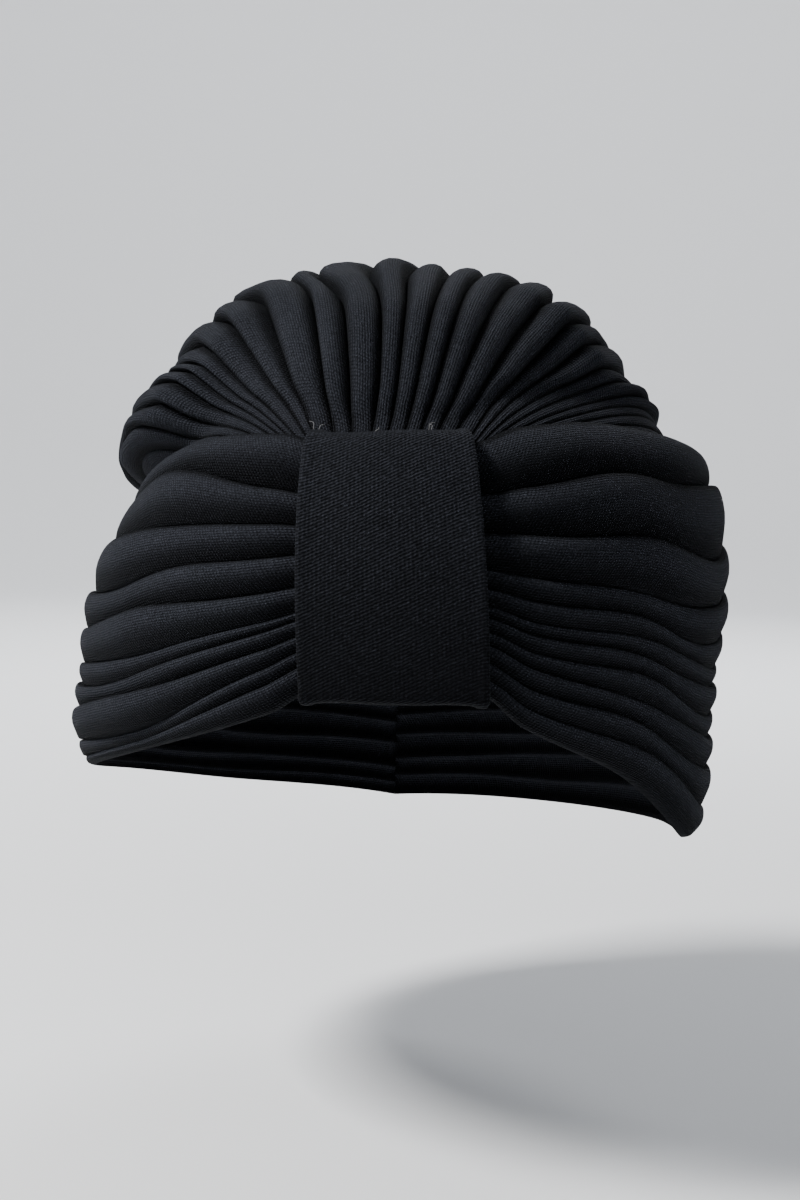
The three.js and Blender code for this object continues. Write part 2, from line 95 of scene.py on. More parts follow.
# Shares of the wrap's height, from the top edge down. crest is the height as a share of the width,
# peak where across the pleat it is highest, and tilt how much its lower half falls away.
WRAP_PLEATS = {
    "left": [
        dict(tab=0.22, temple=0.10, ear=0.07, back=0.09, crest=0.45, peak=0.38, tilt=0.45),
        dict(tab=0.11, temple=0.18, ear=0.11, back=0.12, crest=0.42, peak=0.38, tilt=0.45),
        dict(tab=0.12, temple=0.15, ear=0.14, back=0.13, crest=0.45, peak=0.38, tilt=0.45),
        dict(tab=0.13, temple=0.13, ear=0.13, back=0.12, crest=0.55, peak=0.38, tilt=0.45),
        dict(tab=0.09, temple=0.13, ear=0.15, back=0.12, crest=0.55, peak=0.38, tilt=0.45),
        dict(tab=0.04, temple=0.07, ear=0.07, back=0.09, crest=0.60, peak=0.38, tilt=0.45),
        dict(tab=0.06, temple=0.07, ear=0.12, back=0.10, crest=0.70, peak=0.38, tilt=0.45),
        dict(tab=0.06, temple=0.11, ear=0.12, back=0.10, crest=0.70, peak=0.38, tilt=0.45),
        dict(tab=0.07, temple=0.04, ear=0.06, back=0.08, crest=0.60, peak=0.38, tilt=0.45),
        dict(tab=0.10, temple=0.02, ear=0.03, back=0.05, crest=0.45, peak=0.38, tilt=0.45),
    ],
    "right": [
        dict(tab=0.205, temple=0.130, ear=0.06, back=0.08, crest=0.45, peak=0.40, tilt=0.15),
        dict(tab=0.170, temple=0.205, ear=0.12, back=0.10, crest=0.40, peak=0.28, tilt=0.45),
        dict(tab=0.130, temple=0.140, ear=0.14, back=0.11, crest=0.50, peak=0.33, tilt=0.45),
        dict(tab=0.080, temple=0.070, ear=0.10, back=0.10, crest=0.55, peak=0.38, tilt=0.45),
        dict(tab=0.070, temple=0.060, ear=0.09, back=0.09, crest=0.60, peak=0.38, tilt=0.45),
        dict(tab=0.040, temple=0.045, ear=0.07, back=0.08, crest=0.60, peak=0.38, tilt=0.45),
        dict(tab=0.060, temple=0.065, ear=0.06, back=0.08, crest=0.60, peak=0.38, tilt=0.45),
        dict(tab=0.050, temple=0.070, ear=0.08, back=0.09, crest=0.60, peak=0.38, tilt=0.45),
        dict(tab=0.070, temple=0.060, ear=0.09, back=0.10, crest=0.60, peak=0.38, tilt=0.45),
        dict(tab=0.070, temple=0.080, ear=0.10, back=0.09, crest=0.60, peak=0.38, tilt=0.45),
        dict(tab=0.055, temple=0.075, ear=0.09, back=0.08, crest=0.50, peak=0.38, tilt=0.45),
    ],
}
WRAP_FRONT_END = 0.8
WRAP_BACK_END = 180.1  # each wrap runs just past the middle, so no light shows through the seam
WRAP_LEAN = -0.25  # pleats lean up the hat by this much of their height
SIDE_FILL = 0.5  # creases are shallower round the sides by this much of the pleats' height

# Each pleat's width where it is gathered, over the head and at the rim (mm, degrees, degrees), and how
# far it puffs out (mm). crest is its height as a share of its width, and sway is how far it snakes.
CROWN_PLEATS = [
    dict(gather=1.4, over=0.0, rim=52, puff=11, crest=0.05, sway=0.0),
    dict(gather=0.9, over=1.8, rim=5, puff=11, crest=0.80, sway=0.1),
    dict(gather=0.9, over=2.3, rim=4.5, puff=11, crest=0.80, sway=0.1),
    dict(gather=0.9, over=4.0, rim=4.5, puff=11, crest=0.75, sway=0.1),
    dict(gather=1.0, over=4.2, rim=4.5, puff=11, crest=0.75, sway=0.1),
    dict(gather=0.9, over=3.0, rim=4, puff=12, crest=0.80, sway=0.1),
    dict(gather=1.0, over=2.5, rim=3.5, puff=10, crest=0.80, sway=0.1),
    dict(gather=0.9, over=3.0, rim=4, puff=9, crest=0.80, sway=0.1),
    dict(gather=1.0, over=6.7, rim=4.4, puff=12, crest=0.65, sway=0.1),
    dict(gather=0.9, over=5.8, rim=4.4, puff=13, crest=0.70, sway=0.1),
    dict(gather=3.0, over=9.5, rim=4.4, puff=12, crest=0.60, sway=0.2),
    dict(gather=3.3, over=5.3, rim=4.5, puff=11, crest=0.80, sway=0.35),
    dict(gather=3.3, over=9.7, rim=4.4, puff=11, crest=0.60, sway=0.35),
    dict(gather=3.3, over=7.0, rim=4.4, puff=10, crest=0.72, sway=0.35),
    dict(gather=3.2, over=6.0, rim=4.4, puff=10, crest=0.75, sway=0.2),
    dict(gather=3.3, over=5.0, rim=4.4, puff=11, crest=0.80, sway=0.1),
    dict(gather=3.3, over=6.3, rim=4.5, puff=11, crest=0.75, sway=0.1),
    dict(gather=3.3, over=6.2, rim=4.4, puff=12, crest=0.75, sway=0.1),
    dict(gather=3.0, over=6.0, rim=4.4, puff=12, crest=0.75, sway=0.1),
    dict(gather=0.6, over=4.8, rim=4.4, puff=11, crest=0.80, sway=0.1),
    dict(gather=0.6, over=4.6, rim=4, puff=9, crest=0.80, sway=0.1),
    dict(gather=0.6, over=3.6, rim=3, puff=7, crest=0.80, sway=0.1),
    dict(gather=0.6, over=3.4, rim=3, puff=7, crest=0.80, sway=0.1),
    dict(gather=0.6, over=2.4, rim=3, puff=12, crest=0.80, sway=0.1),
    dict(gather=0.6, over=2.4, rim=3, puff=15, crest=0.80, sway=0.1),
    dict(gather=0.6, over=2.4, rim=3, puff=20, crest=0.80, sway=0.1),
    dict(gather=0.6, over=2.6, rim=2.5, puff=26, crest=0.80, sway=0.1),
    dict(gather=0.6, over=2.8, rim=2.5, puff=33, crest=0.80, sway=0.1),
    dict(gather=6.0, over=0.0, rim=65, puff=27, crest=0.05, sway=0.0),
]
CROWN_START = dict(gather=-27.9, over=-62.2, rim=-68)
GATHER_HEIGHT = -43.0
TUCK = 12.0  # how far the rim reaches below the wraps' top edges
SEAT_GAP = 2.2  # between the tucked rim and the wraps
TUCKED_RELIEF = 0.8
PUFF_START = 4.5  # heights above the wraps' top edges
PUFF_RISE = 20.0
SIDE_PUFF_RISE = 6.0
RELIEF_START = 3.2
RELIEF_RISE = 6.0
OVER_TOP = 0.42  # how far along a pleat the top of the head is
CROWN_LEAN = 0.6  # at the sides, pleats lean away from the middle by this much of their height

TAB_HALF_ANGLE = 13.5
TAB_CLOTH = 1.6
TAB_GAP = 0.6  # between the tab and the wraps
TAB_STANDOFF = 6.5
TAB_FLATTEN = 1.2
TAB_SLACK = 1.3
TAB_TURN = -0.5  # degrees from the centre front at the bottom
TAB_SKEW = -2.0  # degrees by which its top is turned further round
TAB_SQUARENESS = 3.2  # how sharply it is folded over at the top and the bottom; 2 is round

# ---------------------------------------------------------------- how finely it is made

CROWN_ROWS, CROWN_SAMPLES = 126, 11
WRAP_ROWS, WRAP_SAMPLES = 170, 14
TAB_ROWS, TAB_COLUMNS = 190, 46
BEND_SAMPLES = 12  # where the tab folds over at its top and its bottom
RIM_SAMPLES = 4  # round a folded cloth edge
PINCH_REACH = 34  # how many points away the outer face can pull the inner one in
TAB_JOIN = TAB_ROWS // 4 + 7  # where round the tab's loop its texture meets: at the back
PATCH_STEP = 37.0  # each pleat shows another part of the knit, this far across


def smooth(t):
    """Eases from 0 to 1."""
    t = np.clip(t, 0, 1)
    return t * t * (3 - 2 * t)


def column(rows, name):
    return np.array([row[name] for row in rows], float)


def edges(rows, name, start=0.0):
    """Running totals of one column, starting from a given value."""
    return start + np.concatenate([[0.0], np.cumsum(column(rows, name))])


def look_up(rows, name, azimuth):
    """A smooth curve through one column of a table whose rows are ordered by azimuth."""
    xs, ys = column(rows, "azimuth"), column(rows, name)
    x = np.clip(np.asarray(azimuth, float), 0, 180)
    slopes = np.empty_like(ys)
    slopes[1:-1] = (ys[2:] - ys[:-2]) / (xs[2:] - xs[:-2])
    slopes[0] = (ys[1] - ys[0]) / (xs[1] - xs[0])
    slopes[-1] = (ys[-1] - ys[-2]) / (xs[-1] - xs[-2])
    i = np.clip(np.searchsorted(xs, x, side="right") - 1, 0, len(xs) - 2)
    span = xs[i + 1] - xs[i]
    t = (x - xs[i]) / span
    return ((2 * t**3 - 3 * t**2 + 1) * ys[i] + (t**3 - 2 * t**2 + t) * span * slopes[i]
            + (3 * t**2 - 2 * t**3) * ys[i + 1] + (t**3 - t**2) * span * slopes[i + 1])


def two_sided(name, azimuth):
    """A wrap-section column at azimuths from -180 to 180, left side and right side together."""
    turn = np.abs(azimuth)
    return np.where(azimuth < 0, look_up(WRAP_SECTIONS["left"], name, turn),
                    look_up(WRAP_SECTIONS["right"], name, turn))


def unit(v):
    return v / np.linalg.norm(v, axis=-1, keepdims=True)


def narrowing(z):
    rise = np.clip((np.asarray(z, float) + HEAD_HEIGHT) / HEAD_HEIGHT, 0, 1)
    return (1 - rise**HEAD_POWER) ** (1 / HEAD_POWER)


def off_head(azimuth, z, out):
    """Points a given distance straight out from the head."""
    a = np.radians(azimuth)
    k = narrowing(z)
    normal = np.stack([np.sin(a) / HEAD_HALF_WIDTH, -np.cos(a) / HEAD_HALF_DEPTH], -1)
    nx, ny = np.moveaxis(unit(normal), -1, 0)
    x = HEAD_HALF_WIDTH * k * np.sin(a) + out * nx
    y = -HEAD_HALF_DEPTH * k * np.cos(a) + out * ny
    return np.stack(np.broadcast_arrays(x, y, z), -1)


def wander(along, index, waves=(1.3, 2.9, 5.1)):
    """A smooth wobble along a pleat, about -1 to 1, different for each pleat index."""
    total = 0.0
    for n, frequency in enumerate(waves):
        phase = 2 * np.pi * ((index * 0.618 + n * 0.37) % 1.0)
        total = total + np.sin(2 * np.pi * frequency * along + phase) / (n + 1)
    return total / 1.5


def pleat_profile(samples, peak, tilt, power=2.2):
    """Places across a pleat, 0 to 1, and its heights there: evenly spaced round the roll."""
    turn = np.pi * np.arange(samples) / samples
    across = (1 - np.sign(np.cos(turn)) * np.abs(np.cos(turn)) ** (2 / power)) / 2
    height = np.abs(np.sin(turn)) ** (2 / power)
    skewed = across ** (np.log(peak) / np.log(0.5))
    return skewed, height * (1 - tilt * smooth((skewed - 0.4) / 0.6))


def soft_limit(height, most):
    """Heights eased towards a greatest one."""
    return most * np.tanh(height / most)


def inner_heights(outer, points, cloth):
    """The inner face's heights: the outer ones pulled in by the cloth's thickness all round."""
    inner = outer - cloth
    columns = outer.shape[1]
    for step in range(1, min(PINCH_REACH, columns)):
        apart = np.linalg.norm(points[:, step:] - points[:, :-step], axis=-1)
        drop = np.sqrt(np.clip(cloth**2 - apart**2, 0, None))
        near = apart < cloth
        inner[:, :-step] = np.where(near, np.minimum(inner[:, :-step], outer[:, step:] - drop),
                                    inner[:, :-step])
        inner[:, step:] = np.where(near, np.minimum(inner[:, step:], outer[:, :-step] - drop),
                                   inner[:, step:])
    return np.clip(inner, 0, None)


def distance_along(line):
    """The running length of a line of points."""
    return np.concatenate([[0.0], np.cumsum(np.linalg.norm(np.diff(line, axis=0), axis=-1))])


def rounded_edge(outer, inner, outer_next):
    """The fold of cloth that joins the outer face's edge to the inner face's, row by row."""
    middle = (outer + inner) / 2
    half = (outer - inner) / 2
    bulge = unit(outer - outer_next) * np.linalg.norm(half, axis=-1, keepdims=True) * 0.9
    turns = np.pi * np.arange(1, RIM_SAMPLES + 1) / (RIM_SAMPLES + 1)
    return [middle + half * np.cos(turn) + bulge * np.sin(turn) for turn in turns]


def cloth_uv(outer, pleats, samples):
    """Along and across the cloth in metres, measured from each pleat's crest."""
    along = np.zeros(outer.shape[:2])
    across = np.zeros(outer.shape[:2])
    steps = np.linalg.norm(np.diff(outer, axis=1), axis=-1)
    walk = np.concatenate([np.zeros((len(outer), 1)), np.cumsum(steps, axis=1)], axis=1)
    for p in range(pleats):
        first = p * samples
        last = first + samples if p < pleats - 1 else first + samples + 1
        crest = first + samples // 2
        along[:, first:last] = distance_along(outer[:, crest])[:, None]
        across[:, first:last] = walk[:, first:last] - walk[:, crest:crest + 1] + p * PATCH_STEP
    return np.stack([along, across], -1) * MM


def open_share(across, first, last):
    """How open to the light a pleat is, from 0 in the creases at its two sides to 1 on its face; it masks the
    painted crease shade.
    """
    return smooth(across / first) * smooth((1 - across) / last)


def painted_shade_uv(openness, outer):
    """A UV that carries how open to the light each point of the pleats is: the mask of the painted crease
    shade.
    """
    share = np.broadcast_to(openness, outer.shape[:2])
    return np.stack([share, np.full(share.shape, 0.5)], -1)


def add_mesh(name, points, faces, uvs):
    """A smooth-shaded mesh object from points in millimetres, faces and named UVs for each point."""
    mesh = bpy.data.meshes.new(name)
    mesh.from_pydata((points * MM).tolist(), [], faces)
    corners = np.empty(len(mesh.loops), dtype=np.int32)
    mesh.loops.foreach_get("vertex_index", corners)
    for layer, uv in uvs.items():
        mesh.uv_layers.new(name=layer)
        mesh.uv_layers[layer].data.foreach_set("uv", uv.reshape(-1, 2)[corners].ravel())
    mesh.polygons.foreach_set("use_smooth", np.ones(len(mesh.polygons), dtype=bool))
    mesh.validate()
    mesh.update()
    piece = bpy.data.objects.new(name, mesh)
    bpy.context.collection.objects.link(piece)
    return piece


def inside_out(points, quads):
    """Whether four-sided faces enclose a negative volume."""
    a, b, c, d = (points[quads[:, k]] for k in range(4))
    return np.sum(a * np.cross(b, c)) + np.sum(a * np.cross(c, d)) < 0


def doubled_cloth(name, outer, inner, uvs):
    """A closed piece of cloth between two grids of points, its long edges folded round."""
    rows, columns = outer.shape[:2]
    start = rounded_edge(outer[:, 0], inner[:, 0], outer[:, 1])
    end = rounded_edge(outer[:, -1], inner[:, -1], outer[:, -2])
    loop = np.concatenate([outer, np.stack(end, 1), inner[:, ::-1], np.stack(start[::-1], 1)], axis=1)
    size = loop.shape[1]
    loop_uvs = {}
    for layer, uv in uvs.items():
        ends = [np.repeat(uv[:, side][:, None], RIM_SAMPLES, axis=1) for side in (-1, 0)]
        loop_uvs[layer] = np.concatenate([uv, ends[0], uv[:, ::-1], ends[1]], axis=1)
    r = np.arange(rows - 1)[:, None] * size
    c = np.arange(size)[None, :]
    n = (c + 1) % size
    quads = np.stack([r + c, r + n, r + size + n, r + size + c], -1).reshape(-1, 4)
    faces = quads.tolist()
    for row, turned in ((0, True), (rows - 1, False)):
        base = row * size
        cap = [[base + i, base + i + 1, base + 2 * columns + RIM_SAMPLES - 2 - i,
                base + 2 * columns + RIM_SAMPLES - 1 - i] for i in range(columns - 1)]
        cap.append([base + columns - 1 + i for i in range(RIM_SAMPLES + 2)])
        tail = [base + 2 * columns + RIM_SAMPLES - 1 + i for i in range(RIM_SAMPLES + 1)]
        cap.append(tail + [base])
        faces += [f[::-1] for f in cap] if turned else cap
    points = loop.reshape(-1, 3)
    if inside_out(points, quads):
        faces = [f[::-1] for f in faces]
    return add_mesh(name, points, faces, loop_uvs)


# ---------------------------------------------------------------- side wraps

def wrap_out(side, azimuth, share):
    """How far a wrap's inner face stands off the head, at a share of its height."""
    top, middle, hem = (look_up(WRAP_SECTIONS[side], name, azimuth)
                        for name in ("top_out", "mid_out", "hem_out"))
    return (top * (1 - share) * (1 - 2 * share) + middle * 4 * share * (1 - share)
            + hem * share * (2 * share - 1))


def both_wraps_out(azimuth, share):
    """The same for azimuths from -180 to 180, left side and right side together."""
    turn = np.abs(azimuth)
    return np.where(azimuth < 0, wrap_out("left", turn, share), wrap_out("right", turn, share))


def wrap_edges(side, azimuths):
    """The pleats' edges as shares of the wrap's height, one row for each azimuth."""
    names = list(WRAP_STATIONS)
    places = np.array(list(WRAP_STATIONS.values()), float)
    at_stations = np.stack([edges(WRAP_PLEATS[side], name) for name in names])
    i = np.clip(np.searchsorted(places, azimuths, side="right") - 1, 0, len(places) - 2)
    t = smooth((azimuths - places[i]) / (places[i + 1] - places[i]))[:, None]
    return at_stations[i] * (1 - t) + at_stations[i + 1] * t


def make_wrap(side):
    """One pleated side wrap, from the centre front to the centre back."""
    sign = -1 if side == "left" else 1
    table = WRAP_PLEATS[side]
    azimuths = np.linspace(WRAP_FRONT_END, WRAP_BACK_END, WRAP_ROWS)
    along = azimuths / 180
    top, hem, fold = (look_up(WRAP_SECTIONS[side], name, azimuths) for name in ("top", "hem", "fold"))
    valleys = wrap_edges(side, azimuths)
    widths = np.diff(valleys, axis=1)
    for v in range(1, len(table)):
        room = np.minimum(widths[:, v - 1], widths[:, v])
        valleys[:, v] += 0.12 * room * wander(along, v + (0 if side == "left" else 20))
    widths = np.diff(valleys, axis=1)
    shallower = SIDE_FILL * smooth((azimuths - 22) / 30)[:, None]
    # The painted crease shade reaches further up each pleat from its lower crease near the tab.
    painted_shade_reach = (0.6 + 0.25 * smooth((60 - azimuths) / 40))[:, None]  # longer shadows near the tab
    shares, heights, openness = [], [], []
    for i, pleat in enumerate(table):
        across, arch = pleat_profile(WRAP_SAMPLES, pleat["peak"], pleat["tilt"])
        openness.append(open_share(across, 0.12, painted_shade_reach))
        filled = np.ones(WRAP_SAMPLES)
        if i == 0:
            filled = smooth(across / 0.5)
        if i == len(table) - 1:
            filled = smooth((1 - across) / 0.5)
        arch = arch + (1 - arch) * filled * shallower
        height = soft_limit(pleat["crest"] * widths[:, i] * (top - hem), MAX_RELIEF)
        height *= fold * (1 + 0.12 * wander(along, i + 7, (2.1, 4.3, 6.7)))
        shares.append(valleys[:, i:i + 1] + widths[:, i:i + 1] * across)
        heights.append(height[:, None] * arch)
    shares = np.concatenate(shares + [np.ones((WRAP_ROWS, 1))], axis=1)
    heights = np.concatenate(heights + [np.zeros((WRAP_ROWS, 1))], axis=1)
    openness = np.concatenate(openness + [np.zeros((WRAP_ROWS, 1))], axis=1)
    turn = azimuths[:, None]
    level = top[:, None] + (hem - top)[:, None] * shares
    base = off_head(sign * turn, level, wrap_out(side, turn, shares))

    def lifted(height):
        points = off_head(sign * turn, level, wrap_out(side, turn, shares) + height)
        points[..., 2] -= WRAP_LEAN * np.clip(height - CLOTH, 0, None)
        return points

    outer = lifted(heights + CLOTH)
    inner = lifted(inner_heights(heights + CLOTH, base, CLOTH))
    uvs = {"Cloth": cloth_uv(outer, len(table), WRAP_SAMPLES), "Pleat": painted_shade_uv(openness, outer)}
    return doubled_cloth(f"wrap_{side}_pleats", outer, inner, uvs)


# ---------------------------------------------------------------- crown

def head_along(ray):
    """Where rays from the middle of the head leave it, and the head's outward normals there."""
    flat = np.hypot(ray[..., 0] / HEAD_HALF_WIDTH, ray[..., 1] / HEAD_HALF_DEPTH)
    rise = np.clip(ray[..., 2] / HEAD_HEIGHT, 0, None)
    point = ray / ((flat**HEAD_POWER + rise**HEAD_POWER) ** (1 / HEAD_POWER))[..., None]
    k = np.clip(np.hypot(point[..., 0] / HEAD_HALF_WIDTH, point[..., 1] / HEAD_HALF_DEPTH), 1e-6, None)
    bulge = k ** (HEAD_POWER - 2)
    normal = unit(np.stack([
        bulge * point[..., 0] / HEAD_HALF_WIDTH**2, bulge * point[..., 1] / HEAD_HALF_DEPTH**2,
        np.clip(point[..., 2], 0, None) ** (HEAD_POWER - 1) / HEAD_HEIGHT**HEAD_POWER], -1))
    return point - [0, 0, HEAD_HEIGHT], normal


def towards(azimuth, z):
    """Directions from the middle of the head to points on it."""
    point = off_head(azimuth, z, 0.0)
    point[..., 2] = np.clip(point[..., 2] + HEAD_HEIGHT, 0, None)
    return unit(point)


def crown_base(gather, over, rim, puff, s):
    """The crown's inner face: points, normals and heights above the wraps; s runs 0 to 1."""
    turn = np.where(rim > 180, rim - 360, rim)
    sine = np.clip(gather / (HEAD_HALF_WIDTH * narrowing(GATHER_HEIGHT)), -1, 1)
    start = towards(np.degrees(np.arcsin(sine)), np.full_like(sine, GATHER_HEIGHT))
    end = towards(turn, two_sided("top", turn) - TUCK)
    angle = np.radians(over)
    arc = unit(np.stack([HEAD_HALF_WIDTH * np.sin(angle), 0 * angle, HEAD_HEIGHT * np.cos(angle)], -1))
    share = smooth((np.abs(turn) - 68) / 50)[..., None]
    middle = unit(unit(start + end) * (1 - share) + arc * share)
    s = s[..., None]
    ray = unit(start * (s - OVER_TOP) * (s - 1) / OVER_TOP
               + middle * s * (1 - s) / (OVER_TOP * (1 - OVER_TOP))
               + end * s * (s - OVER_TOP) / (1 - OVER_TOP))
    point, normal = head_along(ray)
    azimuth = np.degrees(np.arctan2(point[..., 0] / HEAD_HALF_WIDTH, -point[..., 1] / HEAD_HALF_DEPTH))
    top, hem = two_sided("top", azimuth), two_sided("hem", azimuth)
    rise = point[..., 2] - top
    down = np.clip(-rise / (top - hem), 0, 1)
    wrap = both_wraps_out(azimuth, down)
    behind_tab = 1 - smooth((np.abs(azimuth) - TAB_HALF_ANGLE - 1) / 6)
    tucked = wrap - SEAT_GAP - behind_tab * (TAB_GAP + TAB_CLOTH)
    seat = tucked * np.hypot(normal[..., 0], normal[..., 1]) - CLOTH - TUCKED_RELIEF
    at_side = smooth((np.abs(azimuth) - 35) / 30) * smooth((165 - np.abs(azimuth)) / 40)
    swelling = PUFF_RISE + (SIDE_PUFF_RISE - PUFF_RISE) * at_side
    out = seat + (puff - seat) * smooth((rise - PUFF_START) / swelling)
    return point + normal * out[..., None], normal, rise


def make_crown():
    """The fan-pleated crown: gathered behind the tab, over the head, tucked into the wraps."""
    pleats = len(CROWN_PLEATS)
    s = np.linspace(0, 1, CROWN_ROWS)
    gathers = edges(CROWN_PLEATS, "gather", CROWN_START["gather"])
    overs = edges(CROWN_PLEATS, "over", CROWN_START["over"])
    rims = CROWN_START["rim"] + 360 - edges(CROWN_PLEATS, "rim")
    puff = column(CROWN_PLEATS, "puff")
    puffs = (np.concatenate([puff[:1], puff]) + np.concatenate([puff, puff[-1:]])) / 2
    sways = column(CROWN_PLEATS, "sway")

    places, arches, openness, owner = [], [], [], []
    for i in range(pleats):
        across, arch = pleat_profile(CROWN_SAMPLES, 0.5, 0.0)
        places.append(i + across)
        arches.append(arch)
        openness.append(open_share(across, 0.26, 0.26))
        owner += [i] * CROWN_SAMPLES
    places = np.concatenate(places + [[pleats]])
    arches = np.concatenate(arches + [[0.0]])
    openness = np.concatenate(openness + [[0.0]])
    owner = np.array(owner + [pleats - 1])

    # Valleys wander sideways a little, most where the fan is widest.
    shift = np.zeros((CROWN_ROWS, pleats + 1))
    swell = np.sin(np.pi * np.clip(s, 0, 1)) ** 0.7
    for v in range(2, pleats - 1):
        snake = np.sin(2 * np.pi * (s / OVER_TOP + 0.08 * v))
        snake = snake * smooth(s / 0.08) * smooth((0.5 - s) / 0.12)
        shift[:, v] = sways[v] * snake + 0.12 * swell * wander(s, v)
    valley_index = np.arange(pleats + 1)
    moved = np.stack([np.interp(places, valley_index, valley_index + row) for row in shift])

    def along_table(values, index):
        return np.interp(index, valley_index, values)

    def base_at(index):
        return crown_base(along_table(gathers, index), along_table(overs, index),
                          along_table(rims, index), along_table(puffs, index),
                          np.broadcast_to(s[:, None], index.shape))

    points, normals, rise = base_at(moved)
    valleys = base_at(valley_index + shift)[0]
    spans = np.diff(valleys, axis=1)
    widths = np.linalg.norm(spans, axis=-1)
    sideways = (spans / np.clip(widths, 1e-6, None)[..., None])[:, owner]
    height = soft_limit(column(CROWN_PLEATS, "crest") * widths, CROWN_RELIEF)
    for i in range(pleats):
        height[:, i] *= 1 + 0.12 * wander(s, i + 3, (1.7, 3.9, 6.1))
    height = height[:, owner]
    standing = smooth((rise - RELIEF_START) / RELIEF_RISE)
    relief = (np.minimum(TUCKED_RELIEF, height) * (1 - standing) + height * standing) * arches
    lean = CROWN_LEAN * np.clip(along_table(overs, places) / 45, -1, 1) * standing

    def lifted(heights):
        above = np.clip(heights - CLOTH, 0, None) * lean
        return points + normals * heights[..., None] + sideways * above[..., None]

    outer = lifted(relief + CLOTH)
    inner = lifted(inner_heights(relief + CLOTH, points, CLOTH))
    uvs = {"Cloth": cloth_uv(outer, pleats, CROWN_SAMPLES), "Pleat": painted_shade_uv(openness, outer)}
    return doubled_cloth("crown_pleats", outer, inner, uvs)


# ---------------------------------------------------------------- tab

def tab_loop(azimuth, extra):
    """The tab's section at one azimuth, a closed loop a given distance outside the wraps' ends."""
    top = two_sided("top", azimuth + TAB_TURN + TAB_SKEW)
    hem = two_sided("hem", azimuth + TAB_TURN)
    depth = TAB_STANDOFF + TAB_FLATTEN * (azimuth / TAB_HALF_ANGLE) ** 2
    half, rounding = depth / 2 + extra, depth / 6 + extra
    straight = top - hem - depth / 3 + 2 * TAB_SLACK
    walls = np.linspace(0, 1, TAB_ROWS // 2 - BEND_SAMPLES, endpoint=False)
    bends = np.linspace(0, 180, BEND_SAMPLES, endpoint=False)
    down = np.concatenate([walls, np.ones(BEND_SAMPLES), 1 - walls, np.zeros(BEND_SAMPLES)])
    bend = np.concatenate([0 * walls, -bends, 0 * walls - 180, -180 - bends])
    sine, cosine = (np.sign(f) * np.abs(f) ** (2 / TAB_SQUARENESS)
                    for f in (np.sin(np.radians(bend)), np.cos(np.radians(bend))))
    z = (top + hem) / 2 + straight * (0.5 - down) + rounding * sine
    share = np.clip((top - z) / (top - hem), 0, 1)
    turned = azimuth + TAB_TURN + TAB_SKEW * (1 - share)
    out = both_wraps_out(turned, share) + depth / 2 + half * cosine
    return off_head(turned, z, out)


def make_tab():
    """The twill strip as a closed ring; its long edges are folded under and rounded."""
    azimuths = np.linspace(-1, 1, TAB_COLUMNS) * TAB_HALF_ANGLE
    turned_under = np.clip((np.abs(azimuths) / TAB_HALF_ANGLE - 0.9) / 0.1, 0, 1)
    outer = np.stack([tab_loop(a, TAB_GAP + TAB_CLOTH + 0.3 * np.sin(2.4 * e))
                      for a, e in zip(azimuths, turned_under)], 1)
    inner = np.stack([tab_loop(a, TAB_GAP) for a in azimuths], 1)
    outer, inner = (np.roll(loop, TAB_JOIN, axis=0) for loop in (outer, inner))
    rows = outer.shape[0]
    start = rounded_edge(outer[:, 0], inner[:, 0], outer[:, 1])
    end = rounded_edge(outer[:, -1], inner[:, -1], outer[:, -2])
    section = np.concatenate([outer, np.stack(end, 1), inner[:, ::-1], np.stack(start[::-1], 1)], axis=1)
    size = section.shape[1]
    r = np.arange(rows)[:, None]
    c = np.arange(size)[None, :]
    n, m = (c + 1) % size, (r + 1) % rows
    quads = np.stack([r * size + c, r * size + n, m * size + n, m * size + c], -1).reshape(-1, 4)
    run = distance_along(outer[:, TAB_COLUMNS // 2])
    across = distance_along(outer[TAB_ROWS // 2])
    across = np.concatenate([across, np.full(RIM_SAMPLES, across[-1]), across[::-1], np.zeros(RIM_SAMPLES)])
    uv = np.stack(np.broadcast_arrays(across[None, :], -run[:, None]), -1) * MM
    points = section.reshape(-1, 3)
    if inside_out(points, quads):
        quads = quads[:, ::-1]
    return add_mesh("tab_twill", points, quads.tolist(), {"Cloth": uv})


# Loose thread ends along the tab's top: where, how long, and which way each curls, in mm.
THREAD_ENDS = [
    dict(x=-22.4, length=2.2, lean=-0.7, curl=1.2),
    dict(x=-21.2, length=1.5, lean=0.8, curl=-0.8),
    dict(x=-8.0, length=1.2, lean=0.4, curl=0.7),
    dict(x=5.2, length=2.1, lean=0.9, curl=-1.3),
    dict(x=6.4, length=1.6, lean=-0.3, curl=0.9),
]
THREAD_RADIUS = 0.11


